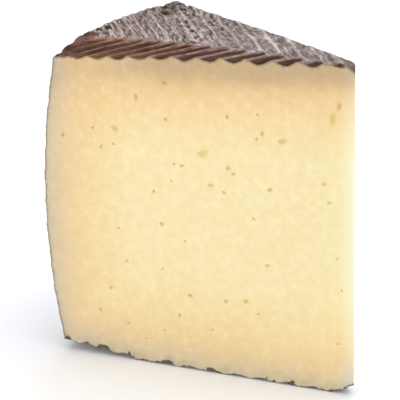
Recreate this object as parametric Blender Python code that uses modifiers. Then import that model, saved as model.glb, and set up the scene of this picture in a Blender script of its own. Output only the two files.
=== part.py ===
"""An aged mixed milk cheese: one wedge of a small wheel, standing on the wheel's underside.

The wheel is a turned form. Its top is gently domed, its side bulges a little, and its underside is flat
where it rests. Both flat sides carry the wheat-ear print of the pressing boards, and the side carries the
zigzag of the woven band. The wedge is the part of the wheel between a front cut through its axis and a
back cut that misses the axis a little, so that the tip is blunt.

Lengths are in metres. In the wheel's own frame the axis is the Z axis and the front cut runs along -X.
"""

from math import atan2, cos, pi, radians, sin, sqrt
from random import Random

import bmesh
import bpy
from mathutils import Matrix, Vector

# The wheel
WHEEL_RADIUS = 0.095
CENTRE_HEIGHT = 0.1054
TOP_DROP = 0.0078
TOP_CURVE = 1.5
HEEL_BULGE = 0.0047
HEEL_LIFT = 0.0028
TIP_LIFT = 0.0027
REST_FROM = 0.12 * WHEEL_RADIUS
REST_TO = 0.72 * WHEEL_RADIUS
SHOULDER_ROUND = 0.0015
TURN_STEPS = 216

# The wedge: the back cut starts behind the front cut by the width of the blunt tip
BACK_ANGLE = radians(33.8)
TIP_WIDTH = 0.0023
WEDGE_ANGLE = radians(35)

# The print of the boards: strands lean away from two spines, like the grains of a wheat ear
SPINE_OFFSET = 0.0005
SPINE_SLOPE = 0.197
FAR_SPINE_OFFSET = 0.0020
FAR_SPINE_SLOPE = 0.50
NEAR_LEAN = radians(45)
FAR_LEAN = radians(56)
FIRST_STRAND = 0.0016
STRAND_PITCH = 0.0061
PITCH_GROWTH = 0.00011
NEAR_STRANDS = 13
STRAND_DEPTH = 0.00125
NEAR_WIDTH = 0.0056
FAR_WIDTH = 0.0050
SHORT_STRAND_SHARE = 0.55
SPINE_RIB = 0.0011

# The print of the woven band round the side
BAND_ROWS = 5
BAND_PITCH = 0.0078
BAND_WIDTH = 0.0058
BAND_DEPTH = 0.0005

# The largest eyes of the paste on the front cut: distance from the heel's edge, height, width, height of eye
FRONT_EYES = [
    (0.0266, 0.0872, 0.0016, 0.0034),
    (0.0883, 0.0882, 0.0022, 0.0052),
    (0.0728, 0.0793, 0.0033, 0.0017),
    (0.0477, 0.0719, 0.0042, 0.0027),
    (0.0194, 0.0764, 0.0026, 0.0024),
    (0.0359, 0.0930, 0.0025, 0.0014),
    (0.0556, 0.0684, 0.0020, 0.0016),
    (0.0500, 0.0622, 0.0021, 0.0015),
    (0.0687, 0.0634, 0.0018, 0.0017),
    (0.0315, 0.0576, 0.0015, 0.0015),
    (0.0543, 0.0247, 0.0018, 0.0015),
    (0.0607, 0.0257, 0.0020, 0.0016),
    (0.0166, 0.0234, 0.0017, 0.0014),
]
BACK_EYES = 12
EYE_DEPTH = 0.0011

# Colours and finish
PASTE_COLOUR = (0.93, 0.74, 0.42, 1)
PASTE_ROUGHNESS = 0.55


def clear_scene():
    """Leaves an empty scene to build in."""
    for obj in list(bpy.data.objects):
        bpy.data.objects.remove(obj, do_unlink=True)


def new_collection(name):
    """A collection linked to the scene."""
    collection = bpy.data.collections.new(name)
    bpy.context.scene.collection.children.link(collection)
    return collection


def top_height(radius):
    """Height of the domed top at a distance from the axis."""
    return CENTRE_HEIGHT - TOP_DROP * (radius / WHEEL_RADIUS) ** TOP_CURVE


def base_height(radius):
    """Height of the underside: flat where it rests, a little raised at the tip and towards the heel."""
    if radius < REST_FROM:
        return TIP_LIFT * (1 - radius / REST_FROM) ** 1.3
    if radius > REST_TO:
        return HEEL_LIFT * (radius - REST_TO) / (WHEEL_RADIUS - REST_TO)
    return 0.0


def heel_radius(height):
    """Distance of the bulged side from the axis at a height."""
    low = base_height(WHEEL_RADIUS)
    middle = (top_height(WHEEL_RADIUS) + low) / 2
    half = top_height(WHEEL_RADIUS) - middle
    return WHEEL_RADIUS + HEEL_BULGE * (1 - ((height - middle) / half) ** 2)


def rounded_corner(before, corner, after, steps=3):
    """Points of a soft corner between two points, as a quadratic curve."""
    points = []
    for step in range(steps + 1):
        t = step / steps
        points.append(before * (1 - t) ** 2 + corner * 2 * t * (1 - t) + after * t ** 2)
    return points


def wheel_profile():
    """The wheel's half section, from the middle of the top, down the side, to the middle of the base."""
    top_edge = Vector((WHEEL_RADIUS, 0, top_height(WHEEL_RADIUS)))
    base_edge = Vector((WHEEL_RADIUS, 0, base_height(WHEEL_RADIUS)))
    points = []
    for step in range(9):
        radius = (WHEEL_RADIUS - SHOULDER_ROUND) * step / 8
        points.append(Vector((radius, 0, top_height(radius))))
    side_top = top_edge.z - SHOULDER_ROUND
    side_base = base_edge.z + SHOULDER_ROUND
    points += rounded_corner(points.pop(), top_edge, Vector((heel_radius(side_top), 0, side_top)))
    for step in range(1, 10):
        height = side_top + (side_base - side_top) * step / 10
        points.append(Vector((heel_radius(height), 0, height)))
    inner = WHEEL_RADIUS - SHOULDER_ROUND
    points += rounded_corner(
        Vector((heel_radius(side_base), 0, side_base)), base_edge, Vector((inner, 0, base_height(inner)))
    )
    points.append(Vector((REST_TO, 0, 0)))
    points.append(Vector(((REST_TO + REST_FROM) / 2, 0, 0)))
    for share in (1, 0.66, 0.33, 0):
        radius = REST_FROM * share
        points.append(Vector((radius, 0, base_height(radius))))
    return points


def turned_wheel(collection):
    """The whole wheel, as a profile turned about the axis."""
    profile = bpy.data.meshes.new("wheel_profile")
    points = wheel_profile()
    profile.from_pydata(points, [(i, i + 1) for i in range(len(points) - 1)], [])
    wheel = bpy.data.objects.new("wheel", profile)
    collection.objects.link(wheel)
    screw = wheel.modifiers.new("turn", "SCREW")
    screw.axis = "Z"
    screw.angle = 2 * pi
    screw.steps = TURN_STEPS
    screw.render_steps = TURN_STEPS
    screw.use_merge_vertices = True
    screw.merge_threshold = 0.00001
    return wheel


def cut_away(mesh, point, outward):
    """Cuts away what lies on the outward side of an upright plane, and closes the cut."""
    geometry = mesh.verts[:] + mesh.edges[:] + mesh.faces[:]
    cut = bmesh.ops.bisect_plane(
        mesh, geom=geometry, dist=0.000001, plane_co=point, plane_no=outward, clear_outer=True
    )
    edges = [item for item in cut["geom_cut"] if isinstance(item, bmesh.types.BMEdge)]
    bmesh.ops.edgeloop_fill(mesh, edges=edges)


def cut_wedge(wheel, collection):
    """The wedge between the front cut, the back cut and the blunt tip."""
    bpy.context.view_layer.update()
    evaluated = wheel.evaluated_get(bpy.context.evaluated_depsgraph_get())
    mesh = bpy.data.meshes.new_from_object(evaluated)
    mesh.name = "aged_mixed_milk_cheese"
    bpy.data.objects.remove(wheel, do_unlink=True)
    shape = bmesh.new()
    shape.from_mesh(mesh)
    bmesh.ops.remove_doubles(shape, verts=shape.verts, dist=0.00001)
    cut_away(shape, (0, 0, 0), (0, -1, 0))
    cut_away(shape, (0, TIP_WIDTH, 0), (sin(BACK_ANGLE), cos(BACK_ANGLE), 0))
    cut_away(shape, (0, 0, 0), (1, 0, 0))
    bmesh.ops.remove_doubles(shape, verts=shape.verts, dist=0.00001)
    bmesh.ops.recalc_face_normals(shape, faces=shape.faces)
    shape.to_mesh(mesh)
    shape.free()
    wedge = bpy.data.objects.new("cheese_wedge", mesh)
    collection.objects.link(wedge)
    return wedge


def unit_ball(name, segments, rings):
    """A ball of radius 1 that the hollows' cutters share."""
    mesh = bpy.data.meshes.new(name)
    shape = bmesh.new()
    bmesh.ops.create_uvsphere(shape, u_segments=segments, v_segments=rings, radius=1)
    shape.to_mesh(mesh)
    shape.free()
    return mesh


def place_cutter(mesh, name, collection, centre, axes, sizes):
    """A ball stretched to three half sizes along three axes."""
    cutter = bpy.data.objects.new(name, mesh)
    rotation = Matrix(axes).transposed().to_4x4()
    cutter.matrix_world = Matrix.Translation(centre) @ rotation @ Matrix.Diagonal((*sizes, 1))
    cutter.hide_render = True
    cutter.display_type = "WIRE"
    collection.objects.link(cutter)
    return cutter


def strand_cutter(mesh, name, collection, start, end, outward, width, depth):
    """A long hollow between two surface points, of that width and depth, as one strand leaves it."""
    along = (end - start).normalized()
    across = outward.cross(along).normalized()
    upward = along.cross(across)
    half = width / 2
    girth = (half * half + depth * depth) / (2 * depth)
    lift = girth - depth
    reach = (end - start).length / 2 / sqrt(1 - (lift / girth) ** 2)
    centre = (start + end) / 2 + upward * lift
    return place_cutter(mesh, name, collection, centre, (across, upward, along), (girth, girth, reach))


def board_point(along, behind, height):
    """A surface point from its distances along and behind the front cut."""
    return Vector((-along, behind, height(sqrt(along * along + behind * behind))))


def near_strands():
    """Plan ends of the strands between the front cut and the first spine, which cross the front edge."""
    ends = []
    for index in range(-1, NEAR_STRANDS + 1):
        along = WHEEL_RADIUS - FIRST_STRAND - STRAND_PITCH * index - PITCH_GROWTH * index * index
        slope = sin(NEAR_LEAN) + SPINE_SLOPE * cos(NEAR_LEAN)
        reach = (SPINE_OFFSET + SPINE_SLOPE * along) / slope
        front = -0.8 * reach - 0.003
        ends.append([(along - t * cos(NEAR_LEAN), t * sin(NEAR_LEAN)) for t in (front, reach - SPINE_RIB)])
    return ends


def far_strands():
    """Plan ends of the strands behind the first spine, and of those behind the second spine."""
    ends = []
    tilt = sin(FAR_LEAN) - FAR_SPINE_SLOPE * cos(FAR_LEAN)
    for index in range(-3, NEAR_STRANDS + 1):
        along = WHEEL_RADIUS - 0.0085 - STRAND_PITCH * index - PITCH_GROWTH * index * index
        behind = SPINE_OFFSET + SPINE_SLOPE * along
        reach = (FAR_SPINE_OFFSET + FAR_SPINE_SLOPE * along - behind) / tilt
        if reach < 0.003:
            continue
        for t0, t1 in ((SPINE_RIB, reach), (reach + 0.0008, 1.75 * reach + 0.006)):
            ends.append([(along + t * cos(FAR_LEAN), behind + t * sin(FAR_LEAN)) for t in (t0, t1)])
    return ends


def meets_wedge(ends):
    """True if a strand with these plan ends reaches the wedge."""
    for share in (0, 0.25, 0.5, 0.75, 1):
        along = ends[0][0] * (1 - share) + ends[1][0] * share
        behind = ends[0][1] * (1 - share) + ends[1][1] * share
        angle = atan2(behind, along)
        radius = sqrt(along * along + behind * behind)
        if -0.06 < angle < WEDGE_ANGLE + 0.06 and radius < WHEEL_RADIUS + 0.001:
            return True
    return False


def board_print(mesh, side, height, outward, collection):
    """The hollows that a pressing board leaves on the top or the underside."""
    count = 0
    for width, strands in ((NEAR_WIDTH, near_strands()), (FAR_WIDTH, far_strands())):
        for ends in filter(meets_wedge, strands):
            start, end = [board_point(*end, height) for end in ends]
            narrow = min(width, SHORT_STRAND_SHARE * (end - start).length)
            depth = STRAND_DEPTH * narrow / width
            name = f"{side}_strand_{count:02d}"
            strand_cutter(mesh, name, collection, start, end, outward, narrow, depth)
            count += 1


def band_print(mesh, collection):
    """The zigzag hollows that the woven band leaves on the side."""
    low = base_height(WHEEL_RADIUS)
    row_height = (top_height(WHEEL_RADIUS) - low) / BAND_ROWS
    step = BAND_PITCH / WHEEL_RADIUS
    for row in range(BAND_ROWS):
        lean = row_height / 2 * (1 if row % 2 else -1)
        middle = low + row_height * (row + 0.5)
        for index in range(int(WEDGE_ANGLE / step) + 3):
            angle = (index - 0.6 + 0.5 * (row % 2)) * step
            points = []
            for share in (-0.96, 0.96):
                height = middle + row_height / 2 * share
                turn = angle + share * lean / WHEEL_RADIUS
                radius = heel_radius(height)
                points.append(Vector((-radius * cos(turn), radius * sin(turn), height)))
            outward = Vector((-cos(angle), sin(angle), 0))
            name = f"band_strand_{row}_{index:02d}"
            strand_cutter(mesh, name, collection, *points, outward, BAND_WIDTH, BAND_DEPTH)


def front_eyes(mesh, collection):
    """The largest eyes on the front cut."""
    axes = (Vector((1, 0, 0)), Vector((0, 1, 0)), Vector((0, 0, 1)))
    for index, (from_heel, height, width, tall) in enumerate(FRONT_EYES):
        centre = Vector((from_heel - WHEEL_RADIUS, 0, height))
        sizes = (width / 2, EYE_DEPTH, tall / 2)
        place_cutter(mesh, f"front_eye_{index:02d}", collection, centre, axes, sizes)


def back_eyes(mesh, collection):
    """Eyes of the same kind on the back cut, spread by a seeded draw."""
    draw = Random(7)
    along = Vector((-cos(BACK_ANGLE), sin(BACK_ANGLE), 0))
    across = Vector((sin(BACK_ANGLE), cos(BACK_ANGLE), 0))
    axes = (along, across, along.cross(across))
    for index in range(BACK_EYES):
        column, row = index % 4, index // 4
        radius = 0.014 + 0.021 * column + draw.uniform(-0.005, 0.005)
        height = 0.024 + 0.028 * row + draw.uniform(-0.009, 0.009)
        centre = along * radius + Vector((0, TIP_WIDTH, height))
        sizes = (draw.uniform(0.0008, 0.0019), EYE_DEPTH, draw.uniform(0.0008, 0.0016))
        place_cutter(mesh, f"back_eye_{index:02d}", collection, centre, axes, sizes)


def cut_hollows(wedge, cutters):
    """Takes all the cutters of a collection out of the wedge."""
    cut = wedge.modifiers.new("print_and_eyes", "BOOLEAN")
    cut.operation = "DIFFERENCE"
    cut.operand_type = "COLLECTION"
    cut.collection = cutters
    cut.solver = "EXACT"


def paste_material():
    """The pale, slightly waxy paste."""
    material = bpy.data.materials.new("paste")
    material.use_nodes = True
    shader = material.node_tree.nodes["Principled BSDF"]
    shader.inputs["Base Color"].default_value = PASTE_COLOUR
    shader.inputs["Roughness"].default_value = PASTE_ROUGHNESS
    shader.inputs["Metallic"].default_value = 0
    return material


def centre_on_base(wedge, cutters):
    """Moves the wedge and its cutters so that the origin is at the middle of the base of its bounding box."""
    bpy.context.view_layer.update()
    evaluated = wedge.evaluated_get(bpy.context.evaluated_depsgraph_get())
    corners = [evaluated.matrix_world @ vertex.co for vertex in evaluated.data.vertices]
    low = [min(corner[axis] for corner in corners) for axis in range(3)]
    high = [max(corner[axis] for corner in corners) for axis in range(3)]
    move = Matrix.Translation((-(low[0] + high[0]) / 2, -(low[1] + high[1]) / 2, -low[2]))
    for obj in [wedge, *cutters.objects]:
        obj.matrix_world = move @ obj.matrix_world


def main():
    clear_scene()
    parts = new_collection("aged_mixed_milk_cheese")
    cutters = new_collection("cutters")
    wedge = cut_wedge(turned_wheel(parts), parts)
    strand_mesh = unit_ball("strand_form", 16, 8)
    eye_mesh = unit_ball("eye_form", 8, 6)
    board_print(strand_mesh, "top", top_height, Vector((0, 0, 1)), cutters)
    board_print(strand_mesh, "base", base_height, Vector((0, 0, -1)), cutters)
    band_print(strand_mesh, cutters)
    front_eyes(eye_mesh, cutters)
    back_eyes(eye_mesh, cutters)
    cut_hollows(wedge, cutters)
    wedge.data.materials.append(paste_material())
    centre_on_base(wedge, cutters)


main()
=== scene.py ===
"""A wedge of aged mixed milk cheese on a pale sweep, in soft studio light.

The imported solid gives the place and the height. One closed mesh replaces it, with sizes close to the
solid's: the turned rind with its printed relief, and the two cut faces with their eyes.
Lengths are in metres.
"""

from math import cos, pi, radians, sin, tan
from random import Random

import bmesh
import bpy
import numpy as np
from mathutils import Matrix, Vector, geometry, noise


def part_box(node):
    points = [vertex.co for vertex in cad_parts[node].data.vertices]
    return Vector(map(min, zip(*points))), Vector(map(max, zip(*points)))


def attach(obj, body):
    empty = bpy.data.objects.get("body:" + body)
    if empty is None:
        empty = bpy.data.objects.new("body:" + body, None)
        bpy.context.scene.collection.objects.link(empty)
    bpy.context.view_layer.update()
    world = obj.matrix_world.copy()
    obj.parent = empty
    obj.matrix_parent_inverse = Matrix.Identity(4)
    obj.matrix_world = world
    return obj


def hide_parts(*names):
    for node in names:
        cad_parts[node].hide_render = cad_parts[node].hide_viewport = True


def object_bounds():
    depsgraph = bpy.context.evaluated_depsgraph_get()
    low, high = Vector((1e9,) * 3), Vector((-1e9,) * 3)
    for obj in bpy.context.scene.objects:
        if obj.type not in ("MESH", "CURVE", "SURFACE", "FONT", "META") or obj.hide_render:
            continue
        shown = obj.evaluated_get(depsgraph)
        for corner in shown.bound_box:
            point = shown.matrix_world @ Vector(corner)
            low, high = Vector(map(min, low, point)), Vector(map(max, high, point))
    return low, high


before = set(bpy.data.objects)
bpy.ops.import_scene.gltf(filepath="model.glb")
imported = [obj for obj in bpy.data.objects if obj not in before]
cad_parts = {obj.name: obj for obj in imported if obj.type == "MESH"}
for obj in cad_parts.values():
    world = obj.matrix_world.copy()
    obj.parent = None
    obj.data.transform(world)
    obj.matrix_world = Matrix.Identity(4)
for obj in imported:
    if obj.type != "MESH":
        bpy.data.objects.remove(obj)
cad_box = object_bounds()

MM = 0.001

# The solid's box. The wheel's axis stands at the tip, on the plane of the front cut
low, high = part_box("cheese_wedge")
AXIS_X = high[0]
FRONT_Y = low[1]

# The wheel, close to the solid's own sizes
WHEEL_RADIUS = 0.095
WEDGE_ANGLE = radians(35)
CENTRE_HEIGHT = high[2]
TOP_DROP = 0.0078
TOP_CURVE = 1.5
HEEL_BULGE = 0.0047
HEEL_LIFT = 0.0028
TIP_LIFT = 0.0027
TIP_CURVE = 1.3
REST_FROM = 0.08 * WHEEL_RADIUS
REST_TO = 0.72 * WHEEL_RADIUS
SHOULDER_ROUND = 0.0015
FOOT_ROUND = 0.0007

# Small departures from the turned form. The top lifts behind the front cut's shoulder and at the tip, and
# the base lifts at the tip
SHOULDER_RISE = 0.0012
RISE_TURN = radians(7)
TIP_RISE = 0.0005
TIP_RISE_REACH = 12 * MM
TIP_HOLLOW = 0.0009
TIP_HOLLOW_REACH = 2.5 * MM

# The back cut misses the wheel's middle, which leaves a blunt tip
BACK_OFFSET = 0.0023
BACK_ANGLE = radians(33.8)
TIP_ROUND = 0.0007

# The print of the boards: strands lean away from two spines that run behind the front cut. Near strands lie
# between the cut and the first spine, and leaves behind that spine
SPINE_OFFSET = -0.0010
SPINE_SLOPE = 0.245
SPINE_SAG = 0.0090
FAR_SPINE_OFFSET = 0.0020
FAR_SPINE_SLOPE = 0.50
NEAR_LEAN = radians(41)
FAR_LEAN = radians(56)
FIRST_STRAND = 0.0016
FINE_PITCH = 0.0038
WIDE_PITCH = 0.0066
FINE_FROM = 0.047
STRAND_PITCH = 0.0061
PITCH_GROWTH = 0.00011
NEAR_STRANDS = 13
NEAR_SPARE = 3
STRAND_DEPTH = 0.00125
FAR_DEPTH = 0.00070
NEAR_WIDTH = 0.0045
LEAF_FILL = 0.71
SPINE_RIB = 0.0004
LEAVES_FROM = -0.012
SHORTEST_LEAF = 0.004
LONE_LEAF = 0.015
LEAF_OVERLAP = 0.0003
OUTER_SHARE = 1.75
OUTER_EXTRA = 0.006
LEAF_JITTER = 0.0006
TOP_SEED = 11
BASE_SEED = 12

# The print of the woven band. Its first strands start before the front cut, and the last end past the back
BAND_ROWS = 5
BAND_PITCH = 0.0078
BAND_WIDTH = 0.0060
BAND_DEPTH = 0.0007
BAND_FIRST = -1.6
BAND_EXTRA = 5

# How much strands differ, as shares of their depth, width and pitch
NEAR_DEPTH_SPREAD = (0.85, 1.1)
FAR_DEPTH_SPREAD = (0.7, 1.15)
BAND_DEPTH_SPREAD = (0.8, 1.1)
WIDTH_SPREAD = (0.94, 1.06)
PITCH_SPREAD = (0.92, 1.08)

# How square each kind of strand is across, and how blunt its ends are
NEAR_SHARPNESS = 1.6
FAR_SHARPNESS = 3.0
BAND_SHARPNESS = 2.6
NEAR_BLUNT = 7
FAR_BLUNT = 8

# The rind's finer relief, its worn shoulder by the heel, its pits and a dark patch. The patch's place is its
# distance from the axis and behind the front cut
WANDER = 0.5 * MM
FIBRE_LENGTH = 3.4 * MM
NEAR_FIBRE_LENGTH = 6.6 * MM
FIBRES_ACROSS = 1.9
FIBRES_APART = 90
FIBRE_DEPTH = 0.13 * MM
GRAIN_DEPTH = 0.05 * MM
LUMP_DEPTH = 0.06 * MM
WORN_DEPTH = 0.25 * MM
WORN_RADII = (86 * MM, 93 * MM)
WORN_UNTIL = (17 * MM, 22 * MM)
PIT_DEPTH = 0.9 * MM
PIT_LENGTH = 1.7
PIT_WIDTH = 0.75
LEAF_HOLLOW = 0.45
RIB_WIDTH = 0.16
RAGGED_DEPTH = 0.5 * MM
RAGGED_RISE = 0.12 * MM
RAGGED_REACH = 2.2 * MM
CALM_RADIUS = 3 * MM
DARK_PATCH = (78 * MM, 46 * MM)
DARK_PATCH_WIDTHS = (6 * MM, 7.5 * MM)

# The cuts' relief: waves of the knife, lumps, crumbs by the base and eyes
WAVE_DEPTH = 0.12 * MM
PASTE_LUMP_DEPTH = 0.03 * MM
CRUMB_DEPTH = 0.5 * MM
CRUMB_REACH = (1.0 * MM, 4.5 * MM)
RIM_WIDTH = 0.9 * MM
EYE_DEPTH = 0.6 * MM

# Mesh density. The last three are shares of a cut's own step
TURN_COLUMNS = 118
TOP_STEP = 0.44 * MM
HEEL_STEP = 0.85 * MM
BASE_STEP = 1.05 * MM
TIP_STEP = 0.55 * MM
FRONT_STEP = 0.62 * MM
BACK_STEP = 0.90 * MM
TIP_TOLERANCE = 0.00001
CORNER_WIDTH = 0.6 * MM
LATTICE_ROW = 0.866
LATTICE_JITTER = 0.14
OUTLINE_CLEARANCE = 0.42

# Eyes of the front cut in millimetres: from the heel's edge, height, width, height of eye
FRONT_EYES = [
    (26.6, 87.2, 1.3, 3.4), (88.3, 88.2, 2.2, 5.2), (90.2, 92.4, 1.4, 3.2), (72.8, 79.3, 3.3, 1.6),
    (47.7, 71.9, 4.2, 2.6), (19.4, 76.4, 2.6, 2.4), (35.9, 93.0, 2.4, 1.3), (55.6, 68.4, 2.0, 1.5),
    (57.2, 66.8, 1.2, 1.3), (50.0, 62.2, 2.0, 1.2), (54.2, 60.4, 1.6, 1.1), (68.7, 63.4, 1.7, 1.6),
    (31.5, 57.6, 1.2, 1.2), (54.3, 24.7, 1.6, 1.3), (60.7, 25.7, 1.8, 1.4), (42.8, 24.8, 1.6, 1.2),
    (16.6, 23.4, 1.5, 1.1), (12.8, 15.3, 1.4, 1.0), (12.2, 75.6, 1.1, 0.9), (2.3, 71.9, 1.3, 1.2),
    (14.8, 69.8, 0.9, 1.5), (18.8, 71.2, 1.1, 1.0), (35.9, 81.4, 1.3, 1.2), (38.4, 67.4, 1.1, 1.0),
    (40.8, 67.2, 1.3, 1.2), (37.3, 61.8, 0.8, 0.7), (55.5, 84.7, 1.2, 1.2), (65.0, 86.7, 0.9, 0.9),
    (66.4, 80.9, 1.1, 1.6), (64.7, 78.9, 1.2, 1.0), (85.5, 67.6, 1.8, 1.0), (34.0, 47.2, 2.0, 1.4),
    (19.7, 43.9, 0.8, 0.8), (22.1, 33.2, 1.2, 0.8), (33.8, 32.4, 0.9, 0.8), (41.3, 42.7, 0.8, 0.8),
    (39.1, 17.6, 1.1, 1.3), (22.1, 12.3, 1.0, 0.9), (34.0, 11.8, 1.3, 0.8), (27.9, 8.1, 1.0, 0.8),
    (63.5, 53.3, 1.0, 0.9), (67.8, 38.7, 1.8, 1.1), (64.6, 22.2, 1.2, 0.8), (49.8, 14.5, 1.1, 0.8),
    (89.6, 44.3, 0.8, 0.8), (90.2, 16.5, 1.2, 0.8), (87.1, 61.9, 1.4, 0.8), (91.1, 34.1, 0.8, 0.8),
]
BACK_EYES = 46
EYE_SPACING = 5 * MM

# Rings of mesh points round an eye: share of its size, and number of points. The lattice stays clear of them
EYE_RINGS = ((0.0, 1), (0.35, 6), (0.62, 9), (0.84, 12), (1.0, 14), (1.22, 14), (1.6, 12))
EYE_CLEARANCE = 1.75

# Pits in the top rind in millimetres: along the front cut from the axis, behind it, radius
RIND_PITS = [
    (90.0, 22.4, 1.3), (87.6, 24.6, 1.6), (81.0, 50.6, 1.6), (78.6, 48.0, 1.4), (76.8, 42.6, 1.6),
    (60.6, 25.6, 1.1), (72.4, 50.2, 0.9), (79.4, 53.4, 0.9),
]

# Paste colours, and how they change over a distance from the rind
PASTE_MIDDLE = (0.80, 0.665, 0.367)
PASTE_PALE = (0.83, 0.712, 0.412)
PASTE_YELLOW = (0.82, 0.735, 0.385)
# Painted highlight: the pale band along the tip's edge
PASTE_TIP_HIGHLIGHT = (0.84, 0.785, 0.545)
TOP_FADE = [
    (0.00, (0.62, 0.525, 0.51)), (0.11, (0.635, 0.535, 0.52)), (0.19, (0.735, 0.60, 0.54)),
    (0.28, (0.88, 0.73, 0.65)), (0.42, (0.97, 0.83, 0.75)), (0.75, (0.99, 0.95, 0.90)), (1.00, (1, 1, 1)),
]
SIDE_FADE = [
    (0.00, (0.66, 0.66, 0.82)), (0.07, (0.77, 0.75, 0.85)), (0.20, (0.88, 0.80, 0.79)),
    (0.38, (0.97, 0.87, 0.79)), (0.65, (0.99, 0.94, 0.87)), (1.00, (1, 1, 1)),
]
PASTE_CRUMB = (0.93, 0.85, 0.62)
# Painted shade on the blunt tip face
TIP_FACE_SHADE = (0.48, 0.47, 0.40)
HEEL_END_TINT = (0.98, 0.96, 0.98)
EYE_GOLD = (0.64, 0.44, 0.07)
CORNER_DARK = (0.07, 0.045, 0.03)
EDGE_OLIVE = (0.14, 0.13, 0.085)
# The dark line along the foot: partly the rind's dark edge, partly painted shade of the gap under the base
CRUST_AND_SHADE_DARK = (0.045, 0.034, 0.022)
FADE_REACH = 0.03

# Rind colours. Stops run from the dark to the pale fibres, and pairs from the dark to the pale hairs
LEAF_STOPS = [
    (0.37, (0.038, 0.025, 0.021)), (0.44, (0.170, 0.127, 0.118)), (0.53, (0.330, 0.267, 0.255)),
    (0.63, (0.520, 0.443, 0.425)),
]
BARK_STOPS = [
    (0.32, (0.030, 0.012, 0.007)), (0.50, (0.072, 0.027, 0.016)), (0.68, (0.130, 0.055, 0.036)),
]
RUSSET_STOPS = [
    (0.32, (0.030, 0.012, 0.007)), (0.50, (0.085, 0.036, 0.019)), (0.68, (0.210, 0.094, 0.050)),
]
OCHRE_STOPS = [(0.35, (0.065, 0.028, 0.012)), (0.65, (0.27, 0.120, 0.046))]
OLIVE_STOPS = [(0.35, (0.038, 0.020, 0.010)), (0.65, (0.125, 0.067, 0.034))]
LEAF_CREST = ((0.53, 0.443, 0.425), (0.86, 0.765, 0.745))
BARK_CREST = ((0.13, 0.066, 0.050), (0.41, 0.262, 0.230))
OCHRE_CREST = ((0.19, 0.088, 0.048), (0.46, 0.27, 0.175))
GREY_CREST = ((0.19, 0.145, 0.135), (0.44, 0.36, 0.345))
LEAF_GREY = (0.262, 0.213, 0.203)
LEAF_BROWN = (0.10, 0.066, 0.052)
LEAF_MAUVE = (0.25, 0.19, 0.195)
LEAF_CRACK = (0.060, 0.043, 0.037)
STAIN_TINT = (0.84, 0.74, 0.64)
# Painted shade in the deepest troughs of the brown strands
BARK_TROUGH_SHADE = (0.036, 0.011, 0.006)
PATCH_DARK = (0.040, 0.020, 0.013)
PATCH_PALE = (0.19, 0.125, 0.098)
WORN_DARK = (0.060, 0.024, 0.019)
WORN_PALE = (0.175, 0.082, 0.064)
# Painted shade on the rind by the tip
TIP_SHADE = (0.135, 0.105, 0.098)
PIT_DARK = (0.045, 0.030, 0.022)

# Stretches of X over which colours change, and the value at each stretch's start and end
RUSSET_STRETCH = (-0.040, 0.005, 0.9, 0.0)
LEAF_GREY_STRETCH = (-0.008, 0.010, 0.0, 0.45)
GREY_CREST_STRETCH = (-0.005, 0.030, 0.0, 0.70)
# Painted shade on the rind over the last millimetres to the tip
TIP_SHADE_STRETCH = (AXIS_X - 0.0060, AXIS_X - 0.0010, 0.0, 0.75)
TOP_FADE_STRETCH = (-0.047, -0.008, 0.30, 1.0)

# The camera, from the foot of the tip
CAMERA_FROM_TIP = Vector((0.24577, -0.72483, 0.39684))
CAMERA_YAW = radians(-22.10)
CAMERA_PITCH = radians(23.48)
CAMERA_ROLL = radians(-1.047)
FOCAL_PIXELS = 2864.6
FRAME_PIXELS = 400
SENSOR_MM = 36

# The studio: white surroundings, each square light's place, size and power, and the floor
WORLD_STRENGTH = 0.775
LIGHTS = {
    "overhead": ((0.15, 0.36, 1.23), 1.35, 8.8),
    "left": ((-1.0, -0.85, 0.24), 0.6, 4.4),
    "front": ((-0.2, -1.35, 0.25), 0.8, 2.5),
}
LIT_POINT = (0, 0, 0.05)
FLOOR_HALF = 4.0
FLOOR_COLOUR = (0.935, 0.95, 0.985)


def smooth_step(value, start, end):
    """0 before start, 1 after end, and smooth between them."""
    t = np.clip((value - start) / (end - start), 0, 1)
    return t * t * (3 - 2 * t)


def bell(value, width):
    """1 at zero, falling off smoothly over that width."""
    return np.exp(-((value / width) ** 2))


def noise_at(points, scale, seed, octaves=1):
    """Smooth noise of about -1 to 1 at each point, with features of that scale."""
    shift = Vector((seed * 7.31, seed * 3.17, seed * 5.73))
    total = np.zeros(len(points))
    weight = 1.0
    for octave in range(octaves):
        size = 2 ** octave / scale
        total += weight * np.array([noise.noise(Vector(point) * size + shift) for point in points])
        weight *= 0.5
    return total


# The wheel's half section


def top_height(radius):
    """Height of the domed top at a distance from the axis."""
    return CENTRE_HEIGHT - TOP_DROP * (radius / WHEEL_RADIUS) ** TOP_CURVE


def base_height(radius):
    """Height of the underside: flat where it rests, raised at the tip and towards the heel."""
    tip = TIP_LIFT * np.clip(1 - radius / REST_FROM, 0, 1) ** TIP_CURVE
    heel = HEEL_LIFT * np.clip((radius - REST_TO) / (WHEEL_RADIUS - REST_TO), 0, None)
    return tip + heel


def heel_radius(height):
    """Distance of the bulged side from the axis at a height."""
    bottom = base_height(WHEEL_RADIUS)
    middle = (top_height(WHEEL_RADIUS) + bottom) / 2
    half = top_height(WHEEL_RADIUS) - middle
    return WHEEL_RADIUS + HEEL_BULGE * (1 - ((height - middle) / half) ** 2)


def corner(before, edge, after, step):
    """Points of a soft corner, as a quadratic curve, without its two ends."""
    count = max(3, int(2 * SHOULDER_ROUND / step))
    t = np.linspace(0, 1, count + 1)[1:-1, None]
    return before * (1 - t) ** 2 + edge * 2 * t * (1 - t) + after * t ** 2


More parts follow.
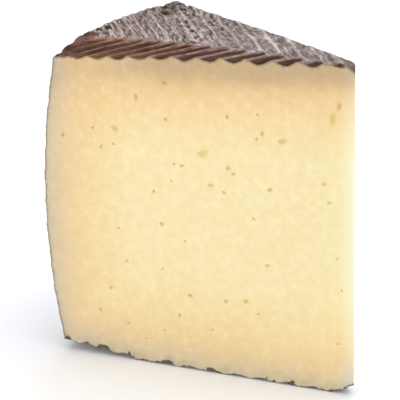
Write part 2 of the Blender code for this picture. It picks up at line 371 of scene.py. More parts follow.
def half_section():
    """Radius and height of each row of the rind, from the top's middle to the base's, and its side.

    The side is 0 on the top, 1 on the heel and 2 on the base, and lies between them in the corners.
    """
    inner = WHEEL_RADIUS - SHOULDER_ROUND
    top_r = np.linspace(0, inner, int(inner / TOP_STEP))
    top = np.stack([top_r, top_height(top_r)], 1)
    top_edge = np.array([WHEEL_RADIUS, top_height(WHEEL_RADIUS)])
    base_edge = np.array([WHEEL_RADIUS, base_height(WHEEL_RADIUS)])
    z0, z1 = top_edge[1] - SHOULDER_ROUND, base_edge[1] + FOOT_ROUND
    heel_z = np.linspace(z0, z1, int((z0 - z1) / HEEL_STEP))
    heel = np.stack([heel_radius(heel_z), heel_z], 1)
    base_inner = WHEEL_RADIUS - FOOT_ROUND
    base_r = np.linspace(base_inner, 0, int(base_inner / BASE_STEP))
    base = np.stack([base_r, base_height(base_r)], 1)
    upper = corner(top[-1], top_edge, heel[0], TOP_STEP)
    lower = corner(heel[-1], base_edge, base[0], TOP_STEP)
    rows = np.concatenate([top, upper, heel, lower, base])
    side = np.concatenate([
        np.zeros(len(top)), np.linspace(0, 1, len(upper) + 2)[1:-1], np.ones(len(heel)),
        np.linspace(1, 2, len(lower) + 2)[1:-1], np.full(len(base), 2.0),
    ])
    return rows, side


# The print


def strand(start, end, width, depth, sharpness, tone, near=0.0):
    """One strand of the print as plan values: middle, direction, half length, half width and depth."""
    start, end = np.array(start), np.array(end)
    span = end - start
    length = np.linalg.norm(span)
    return {
        "middle": (start + end) / 2, "direction": span / length, "half_length": length / 2,
        "half_width": width / 2, "depth": depth, "sharpness": sharpness, "tone": tone, "near": near,
        "blunt": NEAR_BLUNT if near else FAR_BLUNT,
    }


def spine(along):
    """How far behind the front cut the first spine runs."""
    return SPINE_OFFSET + SPINE_SLOPE * along - SPINE_SAG * (along / WHEEL_RADIUS) ** 4


def board_strands(seed):
    """The strands that a pressing board leaves: near ones up to the first spine, and leaves behind it."""
    draw = Random(seed)
    return near_strands(draw) + leaf_strands(draw)


def near_strands(draw):
    """The strands from in front of the cut to the first spine. The cut through them makes the scallops."""
    strands = []
    for index in range(-NEAR_SPARE, NEAR_STRANDS + 1):
        offset = STRAND_PITCH * index + PITCH_GROWTH * index * index
        along = WHEEL_RADIUS - FIRST_STRAND - offset
        reach = near_reach(along)
        ends = []
        for t in (-0.8 * reach - 3 * MM, reach + SPINE_RIB):
            ends.append((along - t * cos(NEAR_LEAN), t * sin(NEAR_LEAN)))
        depth = STRAND_DEPTH * draw.uniform(*NEAR_DEPTH_SPREAD)
        width = NEAR_WIDTH * draw.uniform(*WIDTH_SPREAD)
        strands.append(strand(*ends, width, depth, NEAR_SHARPNESS, draw.random(), 1.0))
    return strands


def near_reach(along):
    """Length of a near strand from the front cut to the first spine, by repeated steps towards the spine."""
    reach = 0
    for _ in range(8):
        reach = max(spine(along - reach * cos(NEAR_LEAN)) / sin(NEAR_LEAN), SPINE_RIB)
    return reach


def leaf_strands(draw):
    """The leaves behind the first spine, in two rows that meet on the second one."""
    strands = []
    far_slope = sin(FAR_LEAN) - FAR_SPINE_SLOPE * cos(FAR_LEAN)
    along = LEAVES_FROM
    while along < 1.02 * WHEEL_RADIUS:
        pitch = WIDE_PITCH if along < FINE_FROM else FINE_PITCH
        along += pitch * draw.uniform(*PITCH_SPREAD)
        behind = spine(along)
        reach = (FAR_SPINE_OFFSET + FAR_SPINE_SLOPE * along - behind) / far_slope
        spans = [(SPINE_RIB, reach), (reach - LEAF_OVERLAP, OUTER_SHARE * reach + OUTER_EXTRA)]
        if reach < SHORTEST_LEAF:
            spans = [(SPINE_RIB, LONE_LEAF)]
        for span in spans:
            ends = []
            for t in span:
                t += draw.uniform(-LEAF_JITTER, LEAF_JITTER)
                ends.append((along + t * cos(FAR_LEAN), behind + t * sin(FAR_LEAN)))
            depth = FAR_DEPTH * draw.uniform(*FAR_DEPTH_SPREAD)
            strands.append(strand(*ends, LEAF_FILL * pitch, depth, FAR_SHARPNESS, draw.random()))
    return strands


def band_strands():
    """The zigzag strands that the woven band leaves, in distances round the side and up it."""
    draw = Random(5)
    strands = []
    bottom = base_height(WHEEL_RADIUS)
    row_height = (top_height(WHEEL_RADIUS) - bottom) / BAND_ROWS
    count = int(WEDGE_ANGLE * WHEEL_RADIUS / BAND_PITCH) + BAND_EXTRA
    for row in range(BAND_ROWS):
        lean = row_height / 2 * (1 if row % 2 else -1)
        middle = bottom + row_height * (row + 0.5)
        for index in range(count):
            place = (index + BAND_FIRST + 0.5 * (row % 2)) * BAND_PITCH
            ends = [(place + s * lean, middle + s * row_height / 2) for s in (-0.99, 0.99)]
            depth = BAND_DEPTH * draw.uniform(*BAND_DEPTH_SPREAD)
            width = BAND_WIDTH * draw.uniform(*WIDTH_SPREAD)
            strands.append(strand(*ends, width, depth, BAND_SHARPNESS, draw.random()))
    return strands


def print_relief(x, y, strands):
    """Fields of the print at plan points: its depth, and the owning strand's tone, kind and place on it."""
    depth = np.zeros(len(x))
    best = np.full(len(x), 100.0)
    fields = {name: np.zeros(len(x)) for name in ("tone", "near", "along", "across", "run")}
    for item in strands:
        dx, dy = x - item["middle"][0], y - item["middle"][1]
        run_x, run_y = item["direction"]
        run = dx * run_x + dy * run_y
        along = run / item["half_length"]
        across = (dy * run_x - dx * run_y) / item["half_width"]
        girth = np.sqrt(np.clip(1 - np.abs(along) ** item["blunt"], 0, 1))
        off_middle = np.abs(across) / np.maximum(girth, 0.0001)
        here = item["depth"] * girth ** 0.7 * np.clip(1 - off_middle ** item["sharpness"], 0, 1)
        depth = np.maximum(depth, here)
        reach = np.abs(across) ** 4 + np.abs(along) ** 4
        owns = reach < best
        best = np.where(owns, reach, best)
        values = {"tone": item["tone"], "near": item["near"], "along": along, "across": across, "run": run}
        for name, value in values.items():
            fields[name] = np.where(owns, value, fields[name])
    return {"depth": depth, **fields}


# The rind. In plan, u is the distance from the axis along the front cut, and v the distance behind that cut


def back_shift(u, share):
    """How far a plan point moves back, so that the back cut clears the axis and leaves a blunt tip."""
    slant = tan(BACK_ANGLE) - tan(WEDGE_ANGLE)
    return share * (BACK_OFFSET * (1 - np.exp(-u / TIP_ROUND)) + slant * u)


def rind_print(u, v, around, height, points, on_side):
    """The print on the whole rind: one board's on the top, another's on the base, the band's on the heel."""
    wander_u = noise_at(points, 9 * MM, 1) * WANDER
    wander_v = noise_at(points, 7 * MM, 2) * WANDER
    top = print_relief(u + wander_u, v + wander_v, board_strands(TOP_SEED))
    base = print_relief(u + wander_u, v + wander_v, board_strands(BASE_SEED))
    heel = print_relief(around + wander_u, height + wander_v, band_strands())
    on_top, on_heel, on_base = on_side
    return {name: on_top * top[name] + on_base * base[name] + on_heel * heel[name] for name in heel}


def print_hollow(fields, on_heel):
    """How far down in the print each point lies, from 0 on a rib to 1 in a trough."""
    on_board = fields["near"] * STRAND_DEPTH + (1 - fields["near"]) * FAR_DEPTH
    full = on_heel * BAND_DEPTH + (1 - on_heel) * on_board
    hollow = np.clip(fields["depth"] / full, 0, 1)
    leaf = np.clip(1 - np.abs(fields["across"]) ** 3, 0, 1) * (1 - fields["near"])
    return np.maximum(hollow, LEAF_HOLLOW * leaf)


def in_pits(u, v):
    """How deep in a pit of the rind each plan point lies, from 0 outside to 1 at the middle."""
    pit = np.zeros(len(u))
    for pit_u, pit_v, pit_r in RIND_PITS:
        du = (u - pit_u * MM) / (pit_r * MM)
        dv = (v - pit_v * MM) / (pit_r * MM)
        lengthways = du * cos(FAR_LEAN) + dv * sin(FAR_LEAN)
        crossways = dv * cos(FAR_LEAN) - du * sin(FAR_LEAN)
        gap = np.hypot(lengthways / PIT_LENGTH, crossways / PIT_WIDTH)
        pit = np.maximum(pit, np.clip(1 - gap ** 2, 0, 1))
    return pit


def print_left(radius, u, v, worn, rib, on_side):
    """Share of the print's depth that is left where wear, ribs, the cuts, the edge or the tip lessen it."""
    on_top, on_heel, on_base = on_side
    from_back = (BACK_OFFSET + u * tan(BACK_ANGLE) - v) * cos(BACK_ANGLE)
    losses = (
        (0.4, worn),
        (0.35, rib),
        (0.5, on_base * np.exp(-v / (5 * MM))),
        (0.75, on_base * bell(radius, 9 * MM)),
        (0.65, bell(from_back, 3.5 * MM)),
        (0.65, on_heel * bell(v, 3.5 * MM)),
        (0.5, on_top * smooth_step(radius, 88 * MM, 94 * MM)),
        (0.25, bell(radius, 7 * MM)),
    )
    left = 1
    for amount, where in losses:
        left = left * (1 - amount * where)
    return left


def rind_sheet():
    """The rind's rows and columns of points and the values that its material reads."""
    rows, side = half_section()
    turns = np.linspace(0, WEDGE_ANGLE, TURN_COLUMNS)
    slope = np.gradient(rows, axis=0)
    length = np.linalg.norm(slope, axis=1, keepdims=True)
    outward = np.stack([-slope[:, 1], slope[:, 0]], 1) / length
    outward[0] = (0, 1)
    outward[-1] = (0, -1)

    radius = np.repeat(rows[:, 0], TURN_COLUMNS)
    height = np.repeat(rows[:, 1], TURN_COLUMNS)
    section = np.repeat(side, TURN_COLUMNS)
    turn = np.tile(turns, len(rows))
    share = np.tan(turn) / tan(WEDGE_ANGLE)
    u = radius * np.cos(turn)
    v = radius * np.sin(turn) + back_shift(u, share)
    points = np.stack([-u, v, height], 1)

    on_top = 1 - smooth_step(section, 0.15, 0.8)
    on_base = smooth_step(section, 1.2, 1.85)
    on_heel = (1 - on_top) * (1 - on_base)
    on_side = (on_top, on_heel, on_base)
    fields = rind_print(u, v, turn * WHEEL_RADIUS, height, points, on_side)
    hollow = print_hollow(fields, on_heel)
    near, across, tone = fields["near"], fields["across"], fields["tone"]

    fine = noise_at(points, 1.5 * MM, 3, 2)
    lumps = noise_at(points, 4.5 * MM, 4)
    fibre_length = FIBRE_LENGTH + (NEAR_FIBRE_LENGTH - FIBRE_LENGTH) * near
    flow = np.stack([fields["run"] / fibre_length, across * FIBRES_ACROSS, tone * FIBRES_APART], 1)
    streak = noise_at(flow, 1.0, 5, 2)
    rib = bell(across + 0.25 * (tone - 0.5), RIB_WIDTH) * (1 - near) * smooth_step(tone, 0.15, 0.5)
    rib *= 1 + 0.8 * np.clip(streak, -1, 1)
    worn = smooth_step(radius, *WORN_RADII) * on_top * (1 - smooth_step(v, *WORN_UNTIL))
    brown = np.maximum(near, smooth_step(worn, 0.25, 0.6))
    pit = in_pits(u, v) * on_top
    patch = bell(u - DARK_PATCH[0], DARK_PATCH_WIDTHS[0]) * bell(v - DARK_PATCH[1], DARK_PATCH_WIDTHS[1])
    patch = np.clip(patch * on_top * (1 + 1.6 * lumps), 0, 0.85)

    sink = fields["depth"] * print_left(radius, u, v, worn, rib, on_side)
    sink += FIBRE_DEPTH * (1 + 1.6 * streak) * (0.35 + 0.65 * hollow)
    sink += GRAIN_DEPTH * (1 + fine) + LUMP_DEPTH * (1 + lumps)
    sink += WORN_DEPTH * worn * (1 + 1.5 * fine)
    sink += PIT_DEPTH * pit
    ragged = RAGGED_DEPTH * noise_at(points, 2.6 * MM, 6) - RAGGED_RISE
    sink += ragged * bell(v, RAGGED_REACH) * on_base
    sink = np.clip(sink, 0, None)
    sink *= smooth_step(radius, 0, CALM_RADIUS) * 0.8 + 0.2
    sink += TIP_HOLLOW * bell(radius, TIP_HOLLOW_REACH) * on_base

    normal = np.repeat(outward, TURN_COLUMNS, axis=0)
    rise = SHOULDER_RISE * (radius / WHEEL_RADIUS) ** 6 * smooth_step(turn, 0, RISE_TURN) * on_top
    rise += TIP_RISE * bell(u, TIP_RISE_REACH) * on_top
    shape = (len(rows), TURN_COLUMNS)
    radii = (radius - normal[:, 0] * sink).reshape(shape)
    levels = (height - normal[:, 1] * sink + rise).reshape(shape)
    for end in (0, -1):
        radii[end] = 0
        levels[end] = levels[end, 0]
    values = {
        "hollow": hollow * (1 - 0.7 * rib), "tone": tone, "along": fields["along"], "brown": brown,
        "pit": pit, "patch": patch, "worn": worn,
        "flow_x": flow[:, 0], "flow_y": flow[:, 1], "flow_z": flow[:, 2],
    }
    return radii, levels, turns, {name: value.reshape(shape) for name, value in values.items()}


# The cut faces


def eye_wobble(angle, phase):
    """How an eye's rim departs from an ellipse: its size at an angle, as a share."""
    return 1 + 0.16 * np.sin(2 * angle + phase) + 0.10 * np.sin(3 * angle + 2 * phase)


def eye_rings(eyes):
    """Points that outline each eye and fill it, for the cut's mesh."""
    rings = []
    for x, z, half_w, half_h, phase in eyes:
        for share, count in EYE_RINGS:
            for step in range(count):
                angle = 2 * pi * step / count + share
                size = share * eye_wobble(angle, phase)
                rings.append((x + half_w * size * cos(angle), z + half_h * size * sin(angle)))
    return np.array(rings)


def eye_relief(x, z, eyes):
    """Depth of the eyes at points of the cut, and how far inside an eye each point is."""
    depth = np.zeros(len(x))
    inside = np.zeros(len(x))
    for eye_x, eye_z, half_w, half_h, phase in eyes:
        dx, dz = (x - eye_x) / half_w, (z - eye_z) / half_h
        gap = np.hypot(dx, dz) / eye_wobble(np.arctan2(dz, dx), phase)
        here = min(0.9 * min(half_w, half_h), EYE_DEPTH) * np.clip(1 - gap * gap, 0, 1)
        depth = np.maximum(depth, here)
        inside = np.maximum(inside, 1 - smooth_step(gap, 0.35, 1.35))
    return depth, inside


def nearest(points, line):
    """Distance from each point to the nearest point of a line, a block of points at a time."""
    best = np.full(len(points), 1.0)
    block = 4000
    for start in range(0, len(points), block):
        some = points[start:start + block]
        gaps = some[:, None, :] - line[None, :, :]
        best[start:start + block] = np.sqrt((gaps ** 2).sum(2).min(1))
    return best


def cut_points(outline, step, eyes, seed):
    """Inner points of a cut: the eyes' rings, and a jittered lattice that keeps off them and the outline."""
    draw = np.random.default_rng(seed)
    span_r, span_z = outline[:, 0].max(), outline[:, 1].max()
    rows_z = np.arange(step, span_z, step * LATTICE_ROW)
    lattice = []
    for index, z in enumerate(rows_z):
        r = np.arange(step * (0.5 + 0.5 * (index % 2)), span_r, step)
        lattice.append(np.stack([r, np.full(len(r), z)], 1))
    lattice = np.concatenate(lattice)
    lattice += draw.uniform(-LATTICE_JITTER, LATTICE_JITTER, lattice.shape) * step
    keep = np.ones(len(lattice), bool)
    for x, z, half_w, half_h, _ in eyes:
        keep &= np.hypot((lattice[:, 0] - x) / half_w, (lattice[:, 1] - z) / half_h) > EYE_CLEARANCE
    points = np.concatenate([lattice[keep], eye_rings(eyes)])
    points = points[in_outline(points, outline)]
    return points[nearest(points, outline) > OUTLINE_CLEARANCE * step]


def in_outline(points, outline):
    """True for points inside a closed outline."""
    inside = np.zeros(len(points), bool)
    x, y = points[:, 0], points[:, 1]
    for (x0, y0), (x1, y1) in zip(outline, np.roll(outline, -1, axis=0)):
        crosses = (y0 > y) != (y1 > y)
        inside ^= crosses & (x < (x1 - x0) * (y - y0) / (y1 - y0 + 1e-15) + x0)
    return inside


def cut_face(outline, tip_from, parts, step, eyes, seed):
    """Triangulates a cut. Returns inner points, their depths, values for all points, and triangles."""
    inner = cut_points(outline, step, eyes, seed)
    points = np.concatenate([outline, inner])
    count = len(outline)
    border = [(i, (i + 1) % count) for i in range(count)]
    in_millimetres = [Vector(point) for point in points * 1000]
    made = geometry.delaunay_2d_cdt(in_millimetres, border, [], 0, 0.00001, True)
    source = [items[0] for items in made[3]]
    triangles = np.array([[source[i] for i in face] for face in made[2]])
    middles = points[triangles].mean(1)
    triangles = triangles[in_outline(middles, outline)]

    top, heel, base = [nearest(points, outline[part]) for part in parts]
    tip = nearest(points, outline[tip_from:])
    edge = np.minimum(np.minimum(top, heel), np.minimum(base, tip))
    depth, inside = eye_relief(points[:, 0], points[:, 1], eyes)
    flat = np.stack([points[:, 0], np.full(len(points), seed * 1.0), points[:, 1]], 1)
    waves = noise_at(flat, 16 * MM, 20 + seed)
    lumps = noise_at(flat, 3.0 * MM, 30 + seed, 2)
    depth += WAVE_DEPTH * (1 + waves) + PASTE_LUMP_DEPTH * (1 + lumps)
    crumbly = 1 - smooth_step(base, *CRUMB_REACH)
    depth += crumbly * CRUMB_DEPTH * np.clip(0.5 + lumps, 0, None)
    depth *= smooth_step(edge, 0, RIM_WIDTH)
    values = {"from_top": top, "from_heel": heel, "from_base": base, "from_tip": tip, "eye": inside}
    return inner, depth, values, triangles


def front_eye_list():
    """The front cut's eyes in metres, in distances from the axis and up."""
    draw = Random(3)
    eyes = []
    for from_heel, height, width, tall in FRONT_EYES:
        place = (WHEEL_RADIUS - from_heel * MM, height * MM)
        eyes.append((*place, width * MM / 2, tall * MM / 2, draw.uniform(0, 6)))
    return eyes


def back_eye_list():
    """Eyes of the same kinds and number on the back cut, by a seeded draw that keeps them apart."""
    draw = Random(8)
    eyes = []
    while len(eyes) < BACK_EYES:
        x = draw.uniform(0.006, 0.088)
        z = draw.uniform(0.008, 0.094)
        if all(np.hypot(x - other[0], z - other[1]) > EYE_SPACING for other in eyes):
            size = (0.42 + 1.5 * draw.random() ** 3) * MM
            eyes.append((x, z, size * draw.uniform(0.8, 1.4), size * 0.9, draw.uniform(0, 6)))
    return eyes


# The whole wedge


def cut_line(turn, share):
    """A fine line along a cut in plan: how far from the axis, how far behind the front, and its length."""
    fine_u = np.concatenate([np.linspace(0, 4 * MM, 400), np.linspace(4.1 * MM, 100 * MM, 400)])
    fine_v = fine_u * tan(turn) + back_shift(fine_u, share)
    steps = np.hypot(np.diff(fine_u), np.diff(fine_v))
    return fine_u, fine_v, np.concatenate([[0], np.cumsum(steps)])


def sunk_points(inner, depth, line, side_sign):
    """Places of a cut's inner points, moved into the cheese by their depths."""
    fine_u, fine_v, fine_s = line
    across = inner[:, 0]
    along_u = np.interp(across, fine_s, np.gradient(fine_u, fine_s))
    along_v = np.interp(across, fine_s, np.gradient(fine_v, fine_s))
    into = np.stack([side_sign * along_v, side_sign * along_u, 0 * along_u], 1)
    flat = np.stack([-np.interp(across, fine_s, fine_u), np.interp(across, fine_s, fine_v), inner[:, 1]], 1)
    return flat + into * depth[:, None]


def grid_faces(index):
    """Faces between the rows and columns of a grid, with three corners where a row is a single point."""
    faces = []
    for above, below in zip(index[:-1], index[1:]):
        for column in range(TURN_COLUMNS - 1):
            corners = (above[column], below[column], below[column + 1], above[column + 1])
            faces.append(tuple(dict.fromkeys(int(i) for i in corners)))
    return faces


def wedge_mesh():
    """One closed mesh of the rind and both cuts, with the values that the materials read."""
    radii, levels, turns, rind_values = rind_sheet()
    rows = len(radii)
    index = np.zeros(radii.shape, int)
    index[1:-1] = 2 + np.arange((rows - 2) * TURN_COLUMNS).reshape(rows - 2, TURN_COLUMNS)
    index[-1] = 1
    count = 2 + (rows - 2) * TURN_COLUMNS
    places = np.zeros((count, 3))
    share = np.tan(turns) / tan(WEDGE_ANGLE)
    u = radii * np.cos(turns)
    places[index] = np.stack([-u, radii * np.sin(turns) + back_shift(u, share), levels], 2)
    values = {name: np.zeros(count) for name in rind_values}
    for name, value in rind_values.items():
        values[name][index] = value
    faces = grid_faces(index)
    rind_faces = len(faces)

    heights = np.linspace(levels[-1, 0], levels[0, 0], int((levels[0, 0] - levels[-1, 0]) / TIP_STEP))[1:-1]
    tip_index = np.arange(count, count + len(heights))
    places = np.concatenate([places, np.stack([0 * heights, 0 * heights, heights], 1)])
    count = len(places)

    on_side = radii[:, 0] > WHEEL_RADIUS - CORNER_WIDTH
    top_rows = int(np.argmax(on_side))
    base_rows = rows - int(np.argmax(on_side[::-1]))
    parts = (slice(0, top_rows), slice(top_rows, base_rows), slice(base_rows, rows))
    cut_values = {}
    for column, turn, step, eyes, seed in (
        (0, 0.0, FRONT_STEP, front_eye_list(), 1),
        (TURN_COLUMNS - 1, WEDGE_ANGLE, BACK_STEP, back_eye_list(), 2),
    ):
        line = cut_line(turn, float(column > 0))
        across = np.interp(u[:, column], line[0], line[2])
        outline = np.concatenate([
            np.stack([across, levels[:, column]], 1), np.stack([0 * heights, heights], 1)
        ])
        border = np.concatenate([index[:, column], tip_index])
        inner, depth, found, triangles = cut_face(outline, rows, parts, step, eyes, seed)
        side_sign = 1 if column == 0 else -1
        sunk = sunk_points(inner, depth[len(outline):], line, side_sign)
        places = np.concatenate([places, sunk])
        numbers = np.concatenate([border, np.arange(count, count + len(inner))])
        count = len(places)
        for triangle in triangles:
            faces.append(tuple(int(numbers[i]) for i in triangle))
        for name, value in found.items():
            cut_values.setdefault(name, []).append((numbers, value))
    for name, value in values.items():
        values[name] = np.concatenate([value, np.zeros(count - len(value))])
    for name, items in cut_values.items():
        whole = np.full(count, 1.0 if name.startswith("from") else 0.0)
        for numbers, value in items:
            whole[numbers] = np.minimum(whole[numbers], value) if name.startswith("from") else value
        values[name] = whole
    places += (AXIS_X, FRONT_Y, 0)
    places = np.clip(places, cad_box[0], cad_box[1])
    return places, faces, rind_faces, values


def make_wedge(materials):
    """The wedge's object: smooth faces, sharp along the cuts, rind and paste as its two materials."""
    places, faces, rind_faces, values = wedge_mesh()
    mesh = bpy.data.meshes.new("cheese")
    mesh.from_pydata(places.tolist(), [], faces)
    for material in materials:
        mesh.materials.append(material)
    kinds = np.ones(len(faces), np.int32)
    kinds[:rind_faces] = 0
    mesh.polygons.foreach_set("material_index", kinds)
    mesh.update()
    mesh.shade_smooth()
    for name, value in values.items():
        attribute = mesh.attributes.new(name, "FLOAT", "POINT")
        attribute.data.foreach_set("value", value.astype(np.float32))
    mark_cut_edges(mesh)
    wedge = bpy.data.objects.new("cheese_body", mesh)
    bpy.context.scene.collection.objects.link(wedge)
    return wedge


def mark_cut_edges(mesh):
    """Makes the edges between rind and paste, and the tip's edge, sharp."""
    shape = bmesh.new()
    shape.from_mesh(mesh)
    bmesh.ops.recalc_face_normals(shape, faces=shape.faces)
    for edge in shape.edges:
        if len(edge.link_faces) != 2:
            continue
        first, second = edge.link_faces
        kinds_differ = first.material_index != second.material_index
        both_paste = first.material_index == second.material_index == 1
        tip_gaps = [max(abs(end.co.x - AXIS_X), abs(end.co.y - FRONT_Y)) for end in edge.verts]
        if kinds_differ or (both_paste and max(tip_gaps) < TIP_TOLERANCE):
            edge.smooth = False
    shape.to_mesh(mesh)
    shape.free()


# Materials


def node(tree, kind, **settings):
    """A new node. Settings that start with in_ are values of its sockets, and the others its properties."""
    made = tree.nodes.new(kind)
    for name, value in settings.items():
        if name.startswith("in_"):
            made.inputs[name[3:]].default_value = value
        else:
            setattr(made, name, value)
    return made


def attribute(tree, name):
    """The output of a value that the mesh holds."""
    return node(tree, "ShaderNodeAttribute", attribute_name=name).outputs["Fac"]


def object_place(tree):
    """The outputs X, Y and Z of a point's place in the object's own coordinates."""
    place = node(tree, "ShaderNodeSeparateXYZ")
    tree.links.new(node(tree, "ShaderNodeTexCoord").outputs["Object"], place.inputs[0])
    return place.outputs


def calculate(tree, operation, *terms):
    """A Math node on links or numbers."""
    made = node(tree, "ShaderNodeMath", operation=operation)
    for socket, term in zip(made.inputs, terms):
        if isinstance(term, (int, float)):
            socket.default_value = term
        else:
            tree.links.new(term, socket)
    return made.outputs[0]


def remap(tree, value, start, end, low_out=0.0, high_out=1.0, smooth=True):
    """Maps a value from one range to another."""
    made = node(tree, "ShaderNodeMapRange", interpolation_type="SMOOTHSTEP" if smooth else "LINEAR")
    tree.links.new(value, made.inputs["Value"])
    made.inputs["From Min"].default_value = start
    made.inputs["From Max"].default_value = end
    made.inputs["To Min"].default_value = low_out
    made.inputs["To Max"].default_value = high_out
    return made.outputs["Result"]


def mix(tree, factor, first, second, blend="MIX"):
    """Mixes two colours, each a link or a colour."""
    made = node(tree, "ShaderNodeMix", data_type="RGBA", blend_type=blend)
    for socket, term in ((made.inputs[0], factor), (made.inputs[6], first), (made.inputs[7], second)):
        if isinstance(term, (int, float, tuple)):
            socket.default_value = term if isinstance(term, (int, float)) else (*term, 1)
        else:
            tree.links.new(term, socket)
    return made.outputs[2]


def noise_texture(tree, scale, detail, roughness):
    """Noise in the object's own coordinates, with that many features a metre."""
    place = node(tree, "ShaderNodeTexCoord").outputs["Object"]
    made = node(tree, "ShaderNodeTexNoise", in_Scale=scale, in_Detail=detail, in_Roughness=roughness)
    tree.links.new(place, made.inputs["Vector"])
    return made.outputs[0]


def bump(tree, height, distance, strength, below=None):
    """A bump of that height in metres."""
    made = node(tree, "ShaderNodeBump", in_Strength=strength, in_Distance=distance)
    tree.links.new(height, made.inputs["Height"])
    if below is not None:
        tree.links.new(below, made.inputs["Normal"])
    return made.outputs[0]


def new_material(name):
    """A node material and its Principled shader."""
    material = bpy.data.materials.new(name)
    material.use_nodes = True
    return material, material.node_tree, material.node_tree.nodes["Principled BSDF"]


def ramp(tree, value, stops):
    """A colour ramp through the stops, each a position and a colour."""
    made = node(tree, "ShaderNodeValToRGB")
    elements = made.color_ramp.elements
    while len(elements) < len(stops):
        elements.new(0.5)
    for element, (position, colour) in zip(elements, stops):
        element.position = position
        element.color = (*colour, 1)
    tree.links.new(value, made.inputs["Fac"])
    return made.outputs["Color"]


def flow_noise(tree, scale, detail, roughness):
    """Noise that runs along the strands of the print."""
    place = node(tree, "ShaderNodeCombineXYZ")
    for socket, name in zip(place.inputs, ("flow_x", "flow_y", "flow_z")):
        tree.links.new(attribute(tree, name), socket)
    made = node(tree, "ShaderNodeTexNoise", in_Scale=scale, in_Detail=detail, in_Roughness=roughness)
    tree.links.new(place.outputs[0], made.inputs["Vector"])
    return made.outputs[0]


def rind_material():
    """Dry rind: brown hollows by the front cut, grey-mauve leaves behind it, whitish crests, dark pits, and
    painted shade in the deepest brown troughs and by the tip.
    """
    material, tree, shader = new_material("rind")
    hollow = attribute(tree, "hollow")
    brown = attribute(tree, "brown")
    tone = attribute(tree, "tone")
    along = attribute(tree, "along")
    worn = attribute(tree, "worn")
    coarse = noise_texture(tree, 170, 4, 0.6)
    fine = noise_texture(tree, 1100, 3, 0.65)
    fibre = flow_noise(tree, 1.0, 3, 0.6)
    hair = flow_noise(tree, 2.6, 2, 0.6)

    place = object_place(tree)
    pale_hair = remap(tree, hair, 0.35, 0.65)
    by_heel = remap(tree, place["X"], *RUSSET_STRETCH)

    # The leaves behind the first spine
    leaf = ramp(tree, fibre, LEAF_STOPS)
    leaf = mix(tree, remap(tree, place["X"], *LEAF_GREY_STRETCH), leaf, LEAF_GREY)
    leaf = mix(tree, remap(tree, coarse, 0.50, 0.72, 0.0, 0.45), leaf, LEAF_BROWN)
    leaf = mix(tree, remap(tree, tone, 0.5, 1.0, 0.0, 0.30), leaf, LEAF_MAUVE)
    leaf = mix(tree, remap(tree, hair, 0.34, 0.46, 0.70, 0.0), leaf, LEAF_CRACK)
    crest = calculate(tree, "SUBTRACT", 1.0, remap(tree, hollow, 0.12, 0.56))
    crest = calculate(tree, "MULTIPLY", crest, remap(tree, fibre, 0.30, 0.58, 0.55, 1.0, smooth=False))
    crest = calculate(tree, "MULTIPLY", crest, remap(tree, coarse, 0.38, 0.56, 1.0, 0.45))
    grey = mix(tree, crest, leaf, mix(tree, pale_hair, *LEAF_CREST))
    stain = remap(tree, noise_texture(tree, 42, 3, 0.6), 0.48, 0.66, 0.0, 0.50)
    grey = mix(tree, stain, grey, mix(tree, 1.0, grey, STAIN_TINT, "MULTIPLY"))
    blotch = mix(tree, remap(tree, fibre, 0.42, 0.58), PATCH_DARK, PATCH_PALE)
    grey = mix(tree, attribute(tree, "patch"), grey, blotch)

    # The brown strands by the front cut
    bark = mix(tree, by_heel, ramp(tree, fibre, BARK_STOPS), ramp(tree, fibre, RUSSET_STOPS))
    ochre = mix(tree, by_heel, ramp(tree, fibre, OLIVE_STOPS), ramp(tree, fibre, OCHRE_STOPS))
    bark = mix(tree, remap(tree, along, -0.1, 0.6, 0.85, 0.0), bark, ochre)
    # Painted shade in the deepest troughs
    bark = mix(tree, remap(tree, hollow, 0.55, 0.95, 0.0, 0.55), bark, BARK_TROUGH_SHADE)
    bark_crest = mix(tree, by_heel, mix(tree, pale_hair, *BARK_CREST), mix(tree, pale_hair, *OCHRE_CREST))
    towards_tip = remap(tree, place["X"], *GREY_CREST_STRETCH)
    bark_crest = mix(tree, towards_tip, bark_crest, mix(tree, pale_hair, *GREY_CREST))
    near_crest = calculate(tree, "SUBTRACT", 1.0, remap(tree, hollow, 0.08, 0.52))
    warm = mix(tree, calculate(tree, "MULTIPLY", near_crest, 0.95), bark, bark_crest)
    warm = mix(tree, worn, warm, mix(tree, remap(tree, coarse, 0.4, 0.6), WORN_DARK, WORN_PALE))

    colour = mix(tree, brown, grey, warm)
    # Painted shade on the rind by the tip
    tip_shade = remap(tree, place["X"], *TIP_SHADE_STRETCH)
    colour = mix(tree, tip_shade, colour, TIP_SHADE)
    colour = mix(tree, remap(tree, attribute(tree, "pit"), 0.05, 0.6), colour, PIT_DARK)
    tree.links.new(colour, shader.inputs["Base Color"])
    tree.links.new(remap(tree, fine, 0.3, 0.7, 0.62, 0.85), shader.inputs["Roughness"])
    shader.inputs["Specular IOR Level"].default_value = 0.14
    grain = bump(tree, fine, 0.0003, 0.5)
    tree.links.new(bump(tree, fibre, 0.0006, 0.6, grain), shader.inputs["Normal"])
    return material


